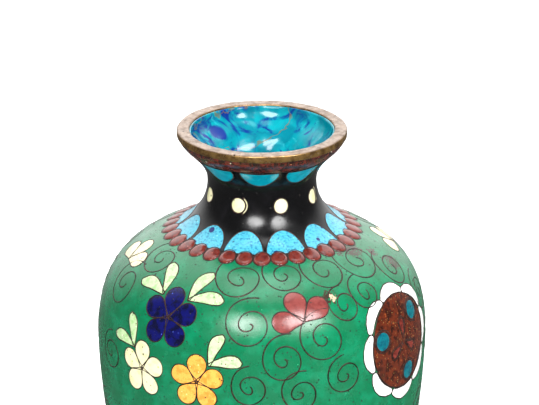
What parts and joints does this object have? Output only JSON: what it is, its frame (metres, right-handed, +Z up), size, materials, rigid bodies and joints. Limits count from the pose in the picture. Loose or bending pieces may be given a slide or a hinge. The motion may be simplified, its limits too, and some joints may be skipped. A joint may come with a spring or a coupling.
{
  "type": "cloisonne_vase",
  "caption": "Small baluster vase with enamel flowers, scrolls and medallions on green, a black neck with lappets, and brass mouth and foot rings.",
  "frame": {"origin": "centre of the flat underside of the foot ring, on the table", "axes": "+Z up from foot to mouth, along the axis of revolution; -Y is the front of the decoration, with the flowers in the middle; +X is towards the medallion at the front's right"},
  "size_m": [0.0728, 0.0728, 0.15],
  "materials": {
    "copper": "satin",
    "brass": "satin",
    "wire": "satin",
    "turquoise_enamel": "gloss",
    "dark_red_enamel": "gloss",
    "black_enamel": "gloss",
    "cream_enamel": "gloss",
    "light_blue_enamel": "gloss",
    "brick_red_enamel": "gloss",
    "green_enamel": "gloss",
    "cobalt_enamel": "gloss",
    "yellow_enamel": "gloss",
    "rose_red_enamel": "gloss",
    "pale_green_enamel": "gloss",
    "brown_enamel": "gloss",
    "white_enamel": "gloss",
    "teal_enamel": "gloss"
  },
  "bodies": {
    "root": {"copper_neck": "copper", "copper_upper_body": "copper", "copper_lower_body": "copper", "copper_foot": "copper", "copper_base_plate": "copper", "brass_mouth_ring": "brass", "brass_foot_ring": "brass", "interior_lining": "turquoise_enamel", "base_counter_enamel": "turquoise_enamel", "collar_band_red": "dark_red_enamel", "collar_lappets_turquoise": "turquoise_enamel", "neck_ground_black": "black_enamel", "neck_dots_cream": "cream_enamel", "shoulder_lappets_blue": "light_blue_enamel", "shoulder_band_red": "brick_red_enamel", "shoulder_beads_red": "brick_red_enamel", "body_ground_green": "green_enamel", "flower_petals_blue": "cobalt_enamel", "flower_petals_cream": "cream_enamel", "flower_petals_yellow": "yellow_enamel", "flower_petals_red": "rose_red_enamel", "leaves_pale_green": "pale_green_enamel", "medallion_discs_brown": "brown_enamel", "medallion_petals_white": "white_enamel", "medallion_dots_teal": "teal_enamel", "medallion_florets_red": "dark_red_enamel", "foot_band_red": "brick_red_enamel", "foot_lappets_blue": "light_blue_enamel", "foot_ground_black": "black_enamel", "foot_edge_band_red": "dark_red_enamel", "wires_borders": "wire", "wires_collar_lappets": "wire", "wires_neck_dots": "wire", "wires_shoulder_lappets": "wire", "wires_shoulder_beads": "wire", "wires_flowers": "wire", "wires_leaves": "wire", "wires_medallions": "wire", "wires_scrolls": "wire", "wires_foot_lappets": "wire"}
  },
  "joints": []
}
